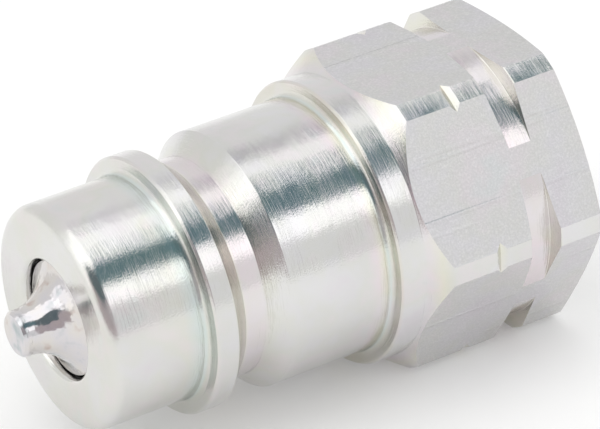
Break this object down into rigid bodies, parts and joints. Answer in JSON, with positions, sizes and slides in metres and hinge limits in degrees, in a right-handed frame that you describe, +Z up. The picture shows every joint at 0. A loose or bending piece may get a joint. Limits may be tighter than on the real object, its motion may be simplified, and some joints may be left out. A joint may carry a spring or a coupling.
{
  "type": "poppet quick coupling nipple",
  "caption": "Male half of a flat-hex poppet quick coupling: ball-groove nose, sprung valve, spanner hexagon and female pipe port.",
  "frame": {"origin": "centre of the port face, on the axis of the coupling", "axes": "+X along the axis, out of the threaded port, so the nose points to -X; +Z up, square to the top flat of the hexagon"},
  "size_m": [0.0512, 0.0298, 0.0268],
  "materials": {
    "body_steel": "bright zinc plated, turned, drawn bar on the flats",
    "poppet_steel": "bright zinc plated, fine turned",
    "seal_rubber": "matt black nitrile",
    "spring_steel": "drawn spring wire",
    "guide_steel": "zinc plated, turned",
    "ring_steel": "phosphated spring steel"
  },
  "bodies": {
    "coupling": {"body": "body_steel", "valve_guide": "guide_steel", "retaining_ring": "ring_steel", "valve_spring": "spring_steel"},
    "valve": {"poppet": "poppet_steel", "poppet_seal": "seal_rubber"}
  },
  "joints": [
    {"name": "poppet_slide", "type": "slide", "parent": "coupling", "child": "valve", "axis": [1, 0, 0], "range_m": [0, 0.0055], "stiffness_N_per_m": 3100, "springref_m": -0.0055, "deforming": ["valve_spring"]}
  ]
}
